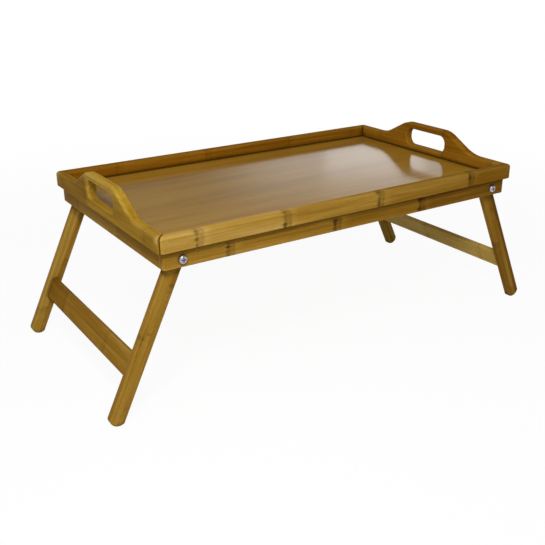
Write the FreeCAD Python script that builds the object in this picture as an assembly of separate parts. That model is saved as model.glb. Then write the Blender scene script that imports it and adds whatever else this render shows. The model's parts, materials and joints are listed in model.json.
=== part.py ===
import FreeCAD, Part
import math
import os

# Folding bed tray table in bamboo, millimetres.
# X runs along the tray, Y from front to rear, Z up.
# The origin is on the floor, under the middle of the tray.

# Tray rim: four boards of one thickness, mitred at the corners
tray_length = 500.0
tray_width = 300.0
rim_height = 18.0
rim_thickness = 12.0
corner_radius = 6.0
rim_top_round = 3.5
rim_foot_round = 1.2
mitre_gap = 0.3

# Raised handles on the end boards
handle_rise = 24.0
crest_half_width = 31.0
shoulder_radius = 40.0
sweep_radius = 60.0
flank_angle = 28.0
slot_length = 76.0
slot_height = 23.0
slot_corner_radius = 10.0
handle_bar_height = 8.5
slot_round = 2.5

# Loose tongues in the mitres
tongue_thickness = 3.0
tongue_reach = 5.0
tongue_height = 9.0
tongue_fit = 0.1

# Tray panel: its lip lies in a rebate under the rim, its field stands between the rim's inner faces
panel_thickness = 3.0
panel_lip_thickness = 2.0
panel_field_gap = 0.3
rebate_depth = 6.0
panel_fit = 0.15

# Apron frame under the rim
apron_height = 20.0
apron_thickness = 7.5
apron_inset = 6.0
apron_corner_radius = 3.0
apron_round = 1.2

# Countersunk screws up through the aprons and the panel's edge into the rim
screw_diameter = 2.8
screw_head_diameter = 5.6
screw_length = 30.0
screw_tip_length = 2.8
screw_tip_diameter = 0.7
screw_sink = 0.3
screw_fit = 0.05
long_apron_screw_spacing = 150.0
short_apron_screw_spacing = 140.0

# Legs: each pair turns on two bolts and leans on the short apron when open
leg_length = 192.0
leg_width = 17.5
leg_thickness = 10.0
leg_round = 2.0
foot_ease = 1.25
foot_corner_radius = 3.0
splay_angle = 25.3
stop_clearance = 0.3
fold_recess = 0.25

# Stretcher between the legs of a pair
stretcher_width = 26.5
stretcher_thickness = 7.0
stretcher_drop = 128.0
stretcher_round = 1.5
dowel_diameter = 4.0
dowel_leg_depth = 6.5
dowel_stretcher_depth = 9.5
dowel_spacing = 14.0
dowel_fit = 0.05
dowel_end_room = 0.5

# Pivot bolts, washers and nuts
bolt_diameter = 5.0
bolt_head_diameter = 9.5
bolt_head_height = 3.4
bolt_head_round = 2.2
bolt_fit = 0.05
bolt_stick_out = 0.8
bolt_end_chamfer = 0.5
running_clearance = 0.08
leg_side_play = 0.15
washer_diameter = 11.0
washer_thickness = 1.2
washer_fit = 0.2
nut_sides = 6
nut_width = 8.0
nut_height = 4.0
nut_chamfer = 0.6
nut_collar_diameter = 7.2
nut_collar_height = 1.2

# Cross recess in the bolt heads, as shares of the head's diameter
recess_span_share = 0.55
recess_width_share = 0.13
recess_depth_share = 0.16

# How far the tools that cut holes and slots run past the wood or metal
cut_overrun = 5.0

# Places that follow from the sizes above
splay = math.radians(splay_angle)
half_length = tray_length / 2
half_width = tray_width / 2
foot_radius = leg_width / 2 + foot_ease
pivot_z = (leg_length - foot_radius) * math.cos(splay) + foot_radius
pivot_rise = leg_width / 2 + fold_recess
apron_bottom = pivot_z - pivot_rise
rim_bottom = apron_bottom + apron_height
rim_top = rim_bottom + rim_height
crest_top = rim_top + handle_rise
apron_outer_x = half_length - apron_inset
apron_outer_y = half_width - apron_inset
apron_inner_x = apron_outer_x - apron_thickness
apron_inner_y = apron_outer_y - apron_thickness
stop_reach = leg_width / 2 + stop_clearance + pivot_rise * math.sin(splay)
pivot_x = apron_inner_x - stop_reach / math.cos(splay)
leg_outer_y = apron_inner_y - washer_thickness - leg_side_play
leg_inner_y = leg_outer_y - leg_thickness
nut_washer_y = leg_inner_y - leg_side_play
nut_face_y = nut_washer_y - washer_thickness
bolt_end_y = nut_face_y - nut_height - nut_collar_height - bolt_stick_out
tiny = 0.01


def box(x0, x1, y0, y1, z0, z1):
    """A box between two corners."""
    return Part.makeBox(x1 - x0, y1 - y0, z1 - z0, FreeCAD.Vector(x0, y0, z0))


def prism(points, direction):
    """A prism on a closed outline of straight sides."""
    outline = [FreeCAD.Vector(*point) for point in points]
    return Part.Face(Part.makePolygon(outline + outline[:1])).extrude(FreeCAD.Vector(*direction))


def round_edges(shape, radius, wanted):
    """Rounds the edges that a test picks out."""
    return shape.makeFillet(radius, [edge for edge in shape.Edges if wanted(edge)])


def edge_ends(edge):
    """The two end points of an edge."""
    return edge.Vertexes[0].Point, edge.Vertexes[-1].Point


def runs_along(edge, axis):
    """True for a straight edge along a row axis."""
    if edge.Curve.TypeId != "Part::GeomLine":
        return False
    return abs(abs(edge.Curve.Direction.dot(axis)) - 1) < tiny


def lies_at(edge, axis_name, place):
    """True where both ends and the middle of an edge lie at one place on an axis."""
    middle = edge.valueAt((edge.FirstParameter + edge.LastParameter) / 2)
    points = list(edge_ends(edge)) + [middle]
    return all(abs(getattr(point, axis_name) - place) < tiny for point in points)


def other_side(shape, axis):
    """The mirror image across the middle of the tray."""
    return shape.mirror(FreeCAD.Vector(0, 0, 0), axis)


along_x = FreeCAD.Vector(1, 0, 0)
along_y = FreeCAD.Vector(0, 1, 0)
along_z = FreeCAD.Vector(0, 0, 1)


def rounded_slab(half_x, half_y, radius, z0, z1):
    """A slab centred on the tray with its four upright corners rounded."""
    slab = box(-half_x, half_x, -half_y, half_y, z0, z1)
    return round_edges(slab, radius, lambda edge: runs_along(edge, along_z))


# ---- rim -------------------------------------------------------------------------------------------

def mitred_rail_region():
    """The room of the front rail: a trapezoid with a mitre at each end."""
    shift = mitre_gap / math.sqrt(2)
    inner_y = -half_width + rim_thickness
    outer_x = half_length - shift
    inner_x = half_length - rim_thickness - shift
    points = [(-outer_x, -half_width, rim_bottom), (outer_x, -half_width, rim_bottom),
              (inner_x, inner_y, rim_bottom), (-inner_x, inner_y, rim_bottom)]
    return prism(points, (0, 0, rim_height))


def mitred_end_region():
    """The room of the right end board, up to the crest of the handle."""
    shift = mitre_gap / math.sqrt(2)
    inner_x = half_length - rim_thickness
    outer_y = half_width - shift
    inner_y = half_width - rim_thickness - shift
    points = [(half_length, -outer_y, rim_bottom), (half_length, outer_y, rim_bottom),
              (inner_x, inner_y, rim_bottom), (inner_x, -inner_y, rim_bottom)]
    return prism(points, (0, 0, crest_top - rim_bottom))


def rim_cutters():
    """Everything that is cut out of the rim boards: panel rebate, tongue grooves and screw holes."""
    reach = rebate_depth - rim_thickness
    rebate = box(-half_length - reach, half_length + reach, -half_width - reach, half_width + reach,
                 rim_bottom, rim_bottom + panel_lip_thickness + panel_fit)
    grooves = corner_tongue_solids(tongue_fit)
    return [rebate] + grooves + apron_screw_holes()


def front_rail():
    """Long rim board with rounded top edges."""
    outer = rounded_slab(half_length, half_width, corner_radius, rim_bottom, rim_top)
    rail = mitred_rail_region().common(outer)

    def top_edge(edge):
        curved = edge.Curve.TypeId == "Part::GeomCircle"
        return lies_at(edge, "z", rim_top) and (curved or runs_along(edge, along_x))

    def lower_outer_edge(edge):
        curved = edge.Curve.TypeId == "Part::GeomCircle"
        straight = runs_along(edge, along_x) and lies_at(edge, "y", -half_width)
        return lies_at(edge, "z", rim_bottom) and (curved or straight)

    rail = round_edges(rail, rim_top_round, top_edge)
    rail = round_edges(rail, rim_foot_round, lower_outer_edge)
    return rail.cut(rim_cutters())


def handle_outline():
    """The end board seen from outside: flat ends, an S-shaped rise on each side and a flat crest."""
    bend = math.radians(flank_angle)
    shoulder_fall = shoulder_radius * (1 - math.cos(bend))
    sweep_rise = sweep_radius * (1 - math.cos(bend))
    flank_run = (handle_rise - shoulder_fall - sweep_rise) / math.tan(bend)
    shoulder_end = crest_half_width + shoulder_radius * math.sin(bend)
    sweep_start = shoulder_end + flank_run
    sweep_end = sweep_start + sweep_radius * math.sin(bend)

    def at(side, y, z):
        return FreeCAD.Vector(half_length - rim_thickness, side * y, z)

    def half(side):
        crest = at(side, crest_half_width, crest_top)
        shoulder_mid = at(side, crest_half_width + shoulder_radius * math.sin(bend / 2),
                          crest_top - shoulder_radius * (1 - math.cos(bend / 2)))
        shoulder = at(side, shoulder_end, crest_top - shoulder_fall)
        sweep = at(side, sweep_start, rim_top + sweep_rise)
        sweep_mid = at(side, sweep_end - sweep_radius * math.sin(bend / 2),
                       rim_top + sweep_radius * (1 - math.cos(bend / 2)))
        level = at(side, sweep_end, rim_top)
        end = at(side, half_width, rim_top)
        return [Part.Arc(crest, shoulder_mid, shoulder).toShape(),
                Part.makeLine(shoulder, sweep),
                Part.Arc(sweep, sweep_mid, level).toShape(),
                Part.makeLine(level, end)]

    crest_line = Part.makeLine(at(-1, crest_half_width, crest_top), at(1, crest_half_width, crest_top))
    feet = [Part.makeLine(at(side, half_width, rim_top), at(side, half_width, rim_bottom))
            for side in (-1, 1)]
    base = Part.makeLine(at(-1, half_width, rim_bottom), at(1, half_width, rim_bottom))
    edges = half(-1) + half(1) + feet + [crest_line, base]
    return Part.Wire(Part.__sortEdges__(edges))


def hand_slot():
    """The rounded slot that is cut through an end board."""
    top = crest_top - handle_bar_height
    slot = box(half_length - rim_thickness - cut_overrun, half_length + cut_overrun,
               -slot_length / 2, slot_length / 2, top - slot_height, top)
    return round_edges(slot, slot_corner_radius, lambda edge: runs_along(edge, along_x))


def right_end_board():
    """Short rim board with the raised handle and its hand slot."""
    inner_x = half_length - rim_thickness
    outer = rounded_slab(half_length, half_width, corner_radius, rim_bottom, crest_top)
    blank = Part.Face(handle_outline()).extrude(FreeCAD.Vector(rim_thickness, 0, 0))
    board = blank.common([outer]).common([mitred_end_region()])

    def top_edge(edge):
        start, end = edge_ends(edge)
        on_a_face = lies_at(edge, "x", half_length) or lies_at(edge, "x", inner_x)
        upright = runs_along(edge, along_z)
        in_corner = edge.Curve.TypeId == "Part::GeomCircle" and lies_at(edge, "z", rim_top)
        return min(start.z, end.z) > rim_top - tiny and not upright and (on_a_face or in_corner)

    def lower_outer_edge(edge):
        curved = edge.Curve.TypeId == "Part::GeomCircle"
        straight = runs_along(edge, along_y) and lies_at(edge, "x", half_length)
        return lies_at(edge, "z", rim_bottom) and (curved or straight)

    board = round_edges(board, rim_top_round, top_edge)
    board = round_edges(board, rim_foot_round, lower_outer_edge)
    board = board.cut(hand_slot())
    slot_top = crest_top - handle_bar_height

    def slot_edge(edge):
        start, end = edge_ends(edge)
        on_a_face = lies_at(edge, "x", half_length) or lies_at(edge, "x", inner_x)
        within_y = max(abs(start.y), abs(end.y)) < slot_length / 2 + tiny
        above_floor = min(start.z, end.z) > slot_top - slot_height - tiny
        below_top = max(start.z, end.z) < slot_top + tiny
        return on_a_face and within_y and above_floor and below_top

    board = round_edges(board, slot_round, slot_edge)
    return board.cut(rim_cutters())


def corner_tongue_solids(room):
    """The loose tongues across the four mitres, grown by some room to give their grooves."""
    solids = []
    for side_x in (-1, 1):
        for side_y in (-1, 1):
            reach = tongue_reach + room
            half_thick = tongue_thickness / 2 + room
            low = rim_bottom + (rim_height - tongue_height) / 2 - room
            tongue = box(-reach, reach, -half_thick, half_thick, low, low + tongue_height + 2 * room)
            tongue.rotate(FreeCAD.Vector(0, 0, 0), along_z, -45 * side_x * side_y)
            tongue.translate(FreeCAD.Vector(side_x * (half_length - rim_thickness / 2),
                                            side_y * (half_width - rim_thickness / 2), 0))
            solids.append(tongue)
    return solids


# ---- panel and aprons ------------------------------------------------------------------------------

def tray_panel():
    """Flat panel on top of the aprons, rabbeted all round so that only its lip enters the rim's rebate."""
    lip_inset = rim_thickness - rebate_depth + panel_fit
    lip_x = half_length - lip_inset
    lip_y = half_width - lip_inset
    field_x = half_length - rim_thickness - panel_field_gap
    field_y = half_width - rim_thickness - panel_field_gap
    lip = box(-lip_x, lip_x, -lip_y, lip_y, rim_bottom, rim_bottom + panel_lip_thickness)
    field = box(-field_x, field_x, -field_y, field_y, rim_bottom, rim_bottom + panel_thickness)
    return lip.fuse(field).removeSplitter().cut(apron_screw_holes())


def front_apron():
    """Long apron: carries two pivot bolts, and its ends show at the corners."""
    apron = rounded_slab(apron_outer_x, apron_outer_y, apron_corner_radius, apron_bottom, rim_bottom)
    apron = apron.common(box(-apron_outer_x, apron_outer_x, -apron_outer_y, -apron_inner_y,
                             apron_bottom, rim_bottom))

    def lower_outer_edge(edge):
        curved = edge.Curve.TypeId == "Part::GeomCircle"
        straight = runs_along(edge, along_x) and lies_at(edge, "y", -apron_outer_y)
        ends = runs_along(edge, along_y) and not lies_at(edge, "y", -apron_inner_y)
        return lies_at(edge, "z", apron_bottom) and (curved or straight or ends)

    apron = round_edges(apron, apron_round, lower_outer_edge)
    holes = [bolt_hole(side, -1, bolt_diameter / 2 + bolt_fit) for side in (-1, 1)]
    return apron.cut(holes + apron_screw_holes())


def right_apron():
    """Short apron between the long ones: its lower inner edge is the stop of the open legs."""
    apron = box(apron_inner_x, apron_outer_x, -apron_inner_y, apron_inner_y, apron_bottom, rim_bottom)

    def lower_outer_edge(edge):
        outside = lies_at(edge, "x", apron_outer_x)
        return outside and runs_along(edge, along_y) and lies_at(edge, "z", apron_bottom)

    apron = round_edges(apron, apron_round, lower_outer_edge)
    return apron.cut(apron_screw_holes())


def apron_screw_places():
    """Plan places of the apron screws, on the middle line of each apron."""
    line_x = apron_outer_x - apron_thickness / 2
    line_y = apron_outer_y - apron_thickness / 2
    long_ones = [(x, side * line_y) for side in (-1, 1)
                 for x in (-long_apron_screw_spacing, 0, long_apron_screw_spacing)]
    short_ones = [(side * line_x, end * short_apron_screw_spacing / 2)
                  for side in (-1, 1) for end in (-1, 1)]
    return long_ones + short_ones


def apron_screw(room):
    """A countersunk wood screw, point up, head at the bottom; grown by some room to give its hole."""
    shank_radius = screw_diameter / 2 + room
    head_radius = screw_head_diameter / 2 + room
    head_depth = head_radius - shank_radius
    low = apron_bottom + screw_sink
    shank_top = low + screw_length - screw_tip_length
    head = Part.makeCone(head_radius, shank_radius, head_depth, FreeCAD.Vector(0, 0, low))
    shank = Part.makeCylinder(shank_radius, shank_top - low, FreeCAD.Vector(0, 0, low))
    tip = Part.makeCone(shank_radius, screw_tip_diameter / 2 + room, screw_tip_length + room,
                        FreeCAD.Vector(0, 0, shank_top))
    return head.fuse([shank, tip]).removeSplitter()


def apron_screw_holes():
    """Holes for the apron screws, with the open sink below each head."""
    hole = apron_screw(screw_fit)
    sink = Part.makeCylinder(screw_head_diameter / 2 + screw_fit, screw_sink,
                             FreeCAD.Vector(0, 0, apron_bottom))
    hole = hole.fuse(sink)
    return [hole.translated(FreeCAD.Vector(x, y, 0)) for x, y in apron_screw_places()]


def apron_screws():
    """The ten apron screws."""
    screw = apron_screw(0)
    return Part.Compound([screw.translated(FreeCAD.Vector(x, y, 0)) for x, y in apron_screw_places()])


# ---- legs ------------------------------------------------------------------------------------------

def leg_place(shape):
    """Turns a shape that hangs straight down from the pivot to the splay of the right legs."""
    placed = shape.copy()
    placed.rotate(FreeCAD.Vector(0, 0, 0), along_y, -splay_angle)
    placed.translate(FreeCAD.Vector(pivot_x, 0, pivot_z))
    return placed


def leg_outline():
    """The leg seen from the front: round top about the pivot and a shallow round foot."""
    half = leg_width / 2
    foot_centre = foot_radius - leg_length
    foot_side = foot_centre - math.sqrt(foot_radius ** 2 - half ** 2)

    def at(x, z):
        return FreeCAD.Vector(x, -leg_outer_y, z)

    edges = [Part.Arc(at(-half, 0), at(0, half), at(half, 0)).toShape(),
             Part.makeLine(at(half, 0), at(half, foot_side)),
             Part.Arc(at(half, foot_side), at(0, -leg_length), at(-half, foot_side)).toShape(),
             Part.makeLine(at(-half, foot_side), at(-half, 0))]
    return Part.Wire(edges), foot_side


def dowel_places():
    """Heights of the two dowels of a stretcher's end, measured from the pivot."""
    return [-stretcher_drop - dowel_spacing / 2, -stretcher_drop + dowel_spacing / 2]


def stretcher_dowel_solids(room, end_room):
    """Dowels across the joints of a stretcher, before the splay; grown to give their holes."""
    length = dowel_leg_depth + dowel_stretcher_depth + 2 * end_room
    dowels = []
    for side in (-1, 1):
        start = side * (leg_inner_y - dowel_stretcher_depth - end_room)
        for height in dowel_places():
            dowels.append(Part.makeCylinder(dowel_diameter / 2 + room, length,
                                            FreeCAD.Vector(0, start, height), FreeCAD.Vector(0, side, 0)))
    return dowels


def front_right_leg():
    """One leg, with its pivot hole and the dowel holes in its inner face."""
    outline, foot_side = leg_outline()
    leg = Part.Face(outline).extrude(FreeCAD.Vector(0, leg_thickness, 0))

    def foot_corner(edge):
        return runs_along(edge, along_y) and lies_at(edge, "z", foot_side)

    leg = round_edges(leg, foot_corner_radius, foot_corner)
    leg = round_edges(leg, leg_round,
                      lambda edge: lies_at(edge, "y", -leg_outer_y) or lies_at(edge, "y", -leg_inner_y))
    pivot_hole = Part.makeCylinder(bolt_diameter / 2 + running_clearance, leg_thickness + 2 * cut_overrun,
                                   FreeCAD.Vector(0, -leg_outer_y - cut_overrun, 0), along_y)
    holes = [pivot_hole] + stretcher_dowel_solids(dowel_fit, dowel_end_room)
    return leg_place(leg.cut(holes))


def right_stretcher():
    """Board between the two legs of a pair, with rounded long edges."""
    stretcher = box(-stretcher_thickness / 2, stretcher_thickness / 2, -leg_inner_y, leg_inner_y,
                    -stretcher_drop - stretcher_width / 2, -stretcher_drop + stretcher_width / 2)
    stretcher = round_edges(stretcher, stretcher_round, lambda edge: runs_along(edge, along_y))
    return leg_place(stretcher.cut(stretcher_dowel_solids(dowel_fit, dowel_end_room)))


def right_stretcher_dowels():
    """The four dowels that join the right stretcher to its legs."""
    return Part.Compound([leg_place(dowel) for dowel in stretcher_dowel_solids(0, 0)])


# ---- pivot hardware --------------------------------------------------------------------------------

def on_pivots(shape):
    """Copies of a front right fitting on all four pivots, as one group."""
    placed = shape.translated(FreeCAD.Vector(pivot_x, 0, pivot_z))
    pair = [placed, other_side(placed, along_x)]
    return Part.Compound(pair + [other_side(fitting, along_y) for fitting in pair])


def bolt_hole(side_x, side_y, radius):
    """The hole of a pivot bolt through a long apron."""
    start = FreeCAD.Vector(side_x * pivot_x, side_y * (apron_inner_y - cut_overrun), pivot_z)
    return Part.makeCylinder(radius, apron_thickness + 2 * cut_overrun, start, FreeCAD.Vector(0, side_y, 0))


def cross_recess(face_y):
    """Two crossed slots that are cut into the face of a bolt head."""
    span = bolt_head_diameter * recess_span_share / 2
    half = bolt_head_diameter * recess_width_share / 2
    depth = bolt_head_diameter * recess_depth_share
    level = box(-span, span, face_y - depth, face_y + depth, -half, half)
    upright = box(-half, half, face_y - depth, face_y + depth, -span, span)
    return level.fuse(upright).removeSplitter()


def pivot_bolts():
    """Pan head machine screws, heads outside on the long aprons."""
    head = Part.makeCylinder(bolt_head_diameter / 2, bolt_head_height,
                             FreeCAD.Vector(0, -apron_outer_y, 0), FreeCAD.Vector(0, -1, 0))
    head_face = -apron_outer_y - bolt_head_height
    head = round_edges(head, bolt_head_round, lambda edge: lies_at(edge, "y", head_face))
    shaft = Part.makeCylinder(bolt_diameter / 2, apron_outer_y - bolt_end_y,
                              FreeCAD.Vector(0, -apron_outer_y, 0), along_y)
    end_edges = [edge for edge in shaft.Edges if lies_at(edge, "y", -bolt_end_y)]
    shaft = shaft.makeChamfer(bolt_end_chamfer, end_edges)
    return on_pivots(head.fuse(shaft).removeSplitter().cut(cross_recess(head_face)))


def washer(face_y):
    """A flat washer whose outer face lies at a given depth from the front."""
    disc = Part.makeCylinder(washer_diameter / 2, washer_thickness, FreeCAD.Vector(0, -face_y, 0), along_y)
    hole = Part.makeCylinder(bolt_diameter / 2 + washer_fit, washer_thickness + 2 * cut_overrun,
                             FreeCAD.Vector(0, -face_y - cut_overrun, 0), along_y)
    return disc.cut(hole)


def spacer_washers():
    """Washers between the long aprons and the legs."""
    return on_pivots(washer(apron_inner_y))


def nut_washers():
    """Washers between the legs and the nuts."""
    return on_pivots(washer(nut_washer_y))


def pivot_nuts():
    """Hexagon lock nuts with a round collar, inside the legs."""
    corner_distance = nut_width / 2 / math.cos(math.pi / nut_sides)
    turns = [2 * math.pi * corner / nut_sides for corner in range(nut_sides)]
    corners = [(corner_distance * math.cos(turn), -nut_face_y, corner_distance * math.sin(turn))
               for turn in turns]
    body = prism(corners, (0, nut_height, 0))
    turned = Part.makeCylinder(corner_distance, nut_height, FreeCAD.Vector(0, -nut_face_y, 0), along_y)
    turned = turned.makeChamfer(nut_chamfer, [edge for edge in turned.Edges
                                              if lies_at(edge, "y", -nut_face_y + nut_height)])
    collar = Part.makeCylinder(nut_collar_diameter / 2, nut_height + nut_collar_height,
                               FreeCAD.Vector(0, -nut_face_y, 0), along_y)
    thread_length = nut_height + nut_collar_height + 2 * cut_overrun
    thread = Part.makeCylinder(bolt_diameter / 2 + bolt_fit, thread_length,
                               FreeCAD.Vector(0, -nut_face_y - cut_overrun, 0), along_y)
    return on_pivots(body.common(turned).fuse(collar).cut(thread))


# ---- all pieces ------------------------------------------------------------------------------------

def build():
    """Every piece by name."""
    rail = front_rail()
    end_board = right_end_board()
    long_apron = front_apron()
    short_apron = right_apron()
    leg = front_right_leg()
    stretcher = right_stretcher()
    dowels = right_stretcher_dowels()
    rear_leg = other_side(leg, along_y)
    return {
        "front_rail": rail,
        "rear_rail": other_side(rail, along_y),
        "right_end_board": end_board,
        "left_end_board": other_side(end_board, along_x),
        "corner_tongues": Part.Compound(corner_tongue_solids(0)),
        "tray_panel": tray_panel(),
        "front_apron": long_apron,
        "rear_apron": other_side(long_apron, along_y),
        "right_apron": short_apron,
        "left_apron": other_side(short_apron, along_x),
        "apron_screws": apron_screws(),
        "front_right_leg": leg,
        "rear_right_leg": rear_leg,
        "front_left_leg": other_side(leg, along_x),
        "rear_left_leg": other_side(rear_leg, along_x),
        "right_stretcher": stretcher,
        "left_stretcher": other_side(stretcher, along_x),
        "right_stretcher_dowels": dowels,
        "left_stretcher_dowels": other_side(dowels, along_x),
        "pivot_bolts": pivot_bolts(),
        "spacer_washers": spacer_washers(),
        "nut_washers": nut_washers(),
        "pivot_nuts": pivot_nuts(),
    }


os.makedirs("parts", exist_ok=True)
for name, shape in build().items():
    shape.exportStep("parts/" + name + ".step")
    state = "valid" if shape.isValid() else "NOT VALID"
    print(name, len(shape.Solids), "solids", round(shape.Volume), "mm3", state)
print("pivot at x", round(pivot_x, 2), "z", round(pivot_z, 2), "rim from", round(rim_bottom, 2), "to",
      round(rim_top, 2), "crest", round(crest_top, 2))
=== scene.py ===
# %% [markdown]
# # A bamboo bed tray, dressed in Blender
# The frame is a folding bed tray table: a shallow rim with two raised handles, a glossy panel, an apron
# under the rim and two leg frames that fold. The shapes are already right, so this lesson adds what
# makes them look like bamboo: grain that runs the right way on every board, knuckles, glue lines, worn
# edges that on the rim are also a painted highlight, painted shade in corners and seams, and lacquer.
# It also models three small things: the glue in the corners of the rim, screw heads with a cross
# recess, and the nylon rings of the lock nuts.

# %% Load the frame
import json
import math
import bmesh
import bpy
from mathutils import Matrix, Vector


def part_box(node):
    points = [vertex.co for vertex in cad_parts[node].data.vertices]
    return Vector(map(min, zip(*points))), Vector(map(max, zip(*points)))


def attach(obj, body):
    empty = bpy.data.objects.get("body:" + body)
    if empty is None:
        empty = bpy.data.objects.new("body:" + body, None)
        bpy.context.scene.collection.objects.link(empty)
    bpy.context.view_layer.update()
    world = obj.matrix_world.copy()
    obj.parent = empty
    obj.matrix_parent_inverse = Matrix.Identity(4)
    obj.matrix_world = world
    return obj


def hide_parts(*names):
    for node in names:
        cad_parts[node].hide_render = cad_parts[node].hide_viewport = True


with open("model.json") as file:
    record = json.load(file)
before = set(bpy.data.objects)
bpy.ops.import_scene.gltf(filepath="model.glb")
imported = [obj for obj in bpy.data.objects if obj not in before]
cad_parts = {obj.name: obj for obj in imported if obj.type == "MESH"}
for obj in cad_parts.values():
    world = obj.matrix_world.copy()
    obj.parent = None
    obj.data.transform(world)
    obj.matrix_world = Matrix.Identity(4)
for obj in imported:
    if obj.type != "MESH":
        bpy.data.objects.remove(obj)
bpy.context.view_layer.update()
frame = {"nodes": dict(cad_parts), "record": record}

# %% [markdown]
# ## The camera
# The place of the camera comes from matching the edges of the tray in the picture to its real sizes. It
# stands at the front left, a little above the rim, and looks along the tray. Its three axes are worked
# out from a heading, a downward tilt and a very small roll, because that is how a person would describe
# the shot.

# %% Camera
eye = Vector((-0.5481, -0.8112, 0.4651))
heading = 0.5763
tilt = -0.3931
roll = -0.0053
lens = 52.14
sensor = 36.0

forward = Vector((math.sin(heading) * math.cos(tilt), math.cos(heading) * math.cos(tilt), math.sin(tilt)))
level_right = forward.cross(Vector((0, 0, 1))).normalized()
level_up = level_right.cross(forward)
right = level_right * math.cos(roll) + level_up * math.sin(roll)
up = level_up * math.cos(roll) - level_right * math.sin(roll)

camera_data = bpy.data.cameras.new("camera")
camera_data.lens = lens
camera_data.sensor_width = sensor
camera = bpy.data.objects.new("camera", camera_data)
bpy.context.scene.collection.objects.link(camera)
turn = Matrix((right, up, -forward)).transposed().to_4x4()
camera.matrix_world = Matrix.Translation(eye) @ turn
bpy.context.scene.camera = camera
bpy.context.scene.view_settings.view_transform = "Standard"
print("camera at", [round(value, 3) for value in eye])

# %% [markdown]
# ## Small helpers for shader nodes
# A material is a sheet of nodes. A few helpers keep the recipes short: one adds a node with its
# settings, one wires a maths step, one makes a soft step between two levels, and one blends two colours.
# Every pattern below is built from these, so each line of a recipe says what it does to the surface.

# %% Node helpers
def put(tree, value, socket):
    """Links a socket to another, or sets it to a constant."""
    if isinstance(value, bpy.types.NodeSocket):
        tree.links.new(value, socket)
    else:
        socket.default_value = value


def add(tree, kind, settings=None, **sockets):
    """Adds a node, sets its options, and fills or links its named sockets."""
    node = tree.nodes.new(kind)
    for option, value in (settings or {}).items():
        setattr(node, option, value)
    for socket_name, value in sockets.items():
        put(tree, value, node.inputs[socket_name.replace("_", " ")])
    return node


def maths(tree, operation, first, second=0.0, clamp=False):
    """One maths step on two numbers or sockets."""
    node = tree.nodes.new("ShaderNodeMath")
    node.operation = operation
    node.use_clamp = clamp
    put(tree, first, node.inputs[0])
    put(tree, second, node.inputs[1])
    return node.outputs[0]


def ramp(tree, value, low, high, bottom=0.0, top=1.0):
    """A soft step: bottom below low, top above high."""
    node = add(tree, "ShaderNodeMapRange", {"interpolation_type": "SMOOTHSTEP"},
               From_Min=low, From_Max=high, To_Min=bottom, To_Max=top)
    tree.links.new(value, node.inputs["Value"])
    return node.outputs["Result"]


print("helpers for nodes: put, add, maths and ramp")


# %% [markdown]
# ## Helpers for whole sheets
# Colours and shaders are blended in the same way at many places. A material starts as an empty sheet
# and ends with its last shader joined to the output, so both of these are helpers too.

# %% Sheet helpers
def mix_colours(tree, share, first, second):
    """Blends the first colour into the second by a share."""
    node = add(tree, "ShaderNodeMix", {"data_type": "RGBA"})
    put(tree, share, node.inputs[0])
    put(tree, first, node.inputs[6])
    put(tree, second, node.inputs[7])
    return node.outputs[2]


def mix_shaders(tree, share, first, second):
    """Blends the first shader into the second by a share."""
    node = add(tree, "ShaderNodeMixShader")
    for value, socket in zip((share, first.outputs[0], second.outputs[0]), node.inputs):
        tree.links.new(value, socket)
    return node


def empty_sheet(name):
    """A new material and its empty sheet of nodes."""
    material = bpy.data.materials.new(name)
    material.use_nodes = True
    material.node_tree.nodes.clear()
    return material, material.node_tree


def close_sheet(tree, shader, kind="ShaderNodeOutputMaterial"):
    """Joins the last shader of a sheet to its output."""
    end = add(tree, kind)
    tree.links.new(shader.outputs[0], end.inputs[0])


print("helpers for sheets: mix_colours, mix_shaders, empty_sheet and close_sheet")

# %% [markdown]
# ## Light from all round
# The tray stands in a small studio. Light comes evenly from all round, and a little more of it from the
# front, as on the real tray, whose front rail is its brightest board. A lamp for each direction would
# leave many shadows, so the world gives this light, with a soft step from rear to front.

# %% Even light
world = bpy.data.worlds.new("studio")
bpy.context.scene.world = world
world.use_nodes = True
sky = world.node_tree
sky.nodes.clear()
front_ambient = 0.4
back_ambient = 0.27
direction = add(sky, "ShaderNodeTexCoord").outputs["Generated"]
towards = add(sky, "ShaderNodeSeparateXYZ", Vector=direction).outputs
ambient = ramp(sky, towards[1], -0.6, 0.5, front_ambient, back_ambient)
soft_light = add(sky, "ShaderNodeBackground", Color=(1, 1, 1, 1), Strength=ambient)
print("even light from", back_ambient, "behind to", front_ambient, "in front")

# %% [markdown]
# ## White paper behind the tray
# The background is a sheet of white paper. It is white for the camera and for reflections only, so it
# adds no light. It ends at a height and at a heading on the left. A reflection that points past either
# is dimmer, and that gives the lacquered panel its bright and dark parts.

# %% Paper
ceiling_level = 0.16
paper_full_height = 0.245
paper_end_height = 0.308
paper_left_heading = math.radians(24.5)
paper_left_fade = 0.2
rays = add(sky, "ShaderNodeLightPath").outputs
seen = maths(sky, "MAXIMUM", rays["Is Camera Ray"], rays["Is Glossy Ray"])
seen = maths(sky, "MAXIMUM", seen, rays["Is Transmission Ray"])
low = ramp(sky, towards[2], paper_full_height, paper_end_height, 1.0, 0.0)
from_left = maths(sky, "SUBTRACT", maths(sky, "MULTIPLY", towards[0], math.cos(paper_left_heading)),
                  maths(sky, "MULTIPLY", towards[1], math.sin(paper_left_heading)))
on_paper = maths(sky, "MULTIPLY", low, ramp(sky, from_left, 0.0, paper_left_fade))
paper = ramp(sky, on_paper, 0.0, 1.0, ceiling_level, 1.0)
paper_seen = maths(sky, "MAXIMUM", paper, rays["Is Camera Ray"])
paper_seen = maths(sky, "MAXIMUM", paper_seen, rays["Is Transmission Ray"])
white_wall = add(sky, "ShaderNodeBackground", Color=(1, 1, 1, 1), Strength=paper_seen)
close_sheet(sky, mix_shaders(sky, seen, soft_light, white_wall), "ShaderNodeOutputWorld")
print("paper up to", paper_end_height, "and", ceiling_level, "above it")


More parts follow.
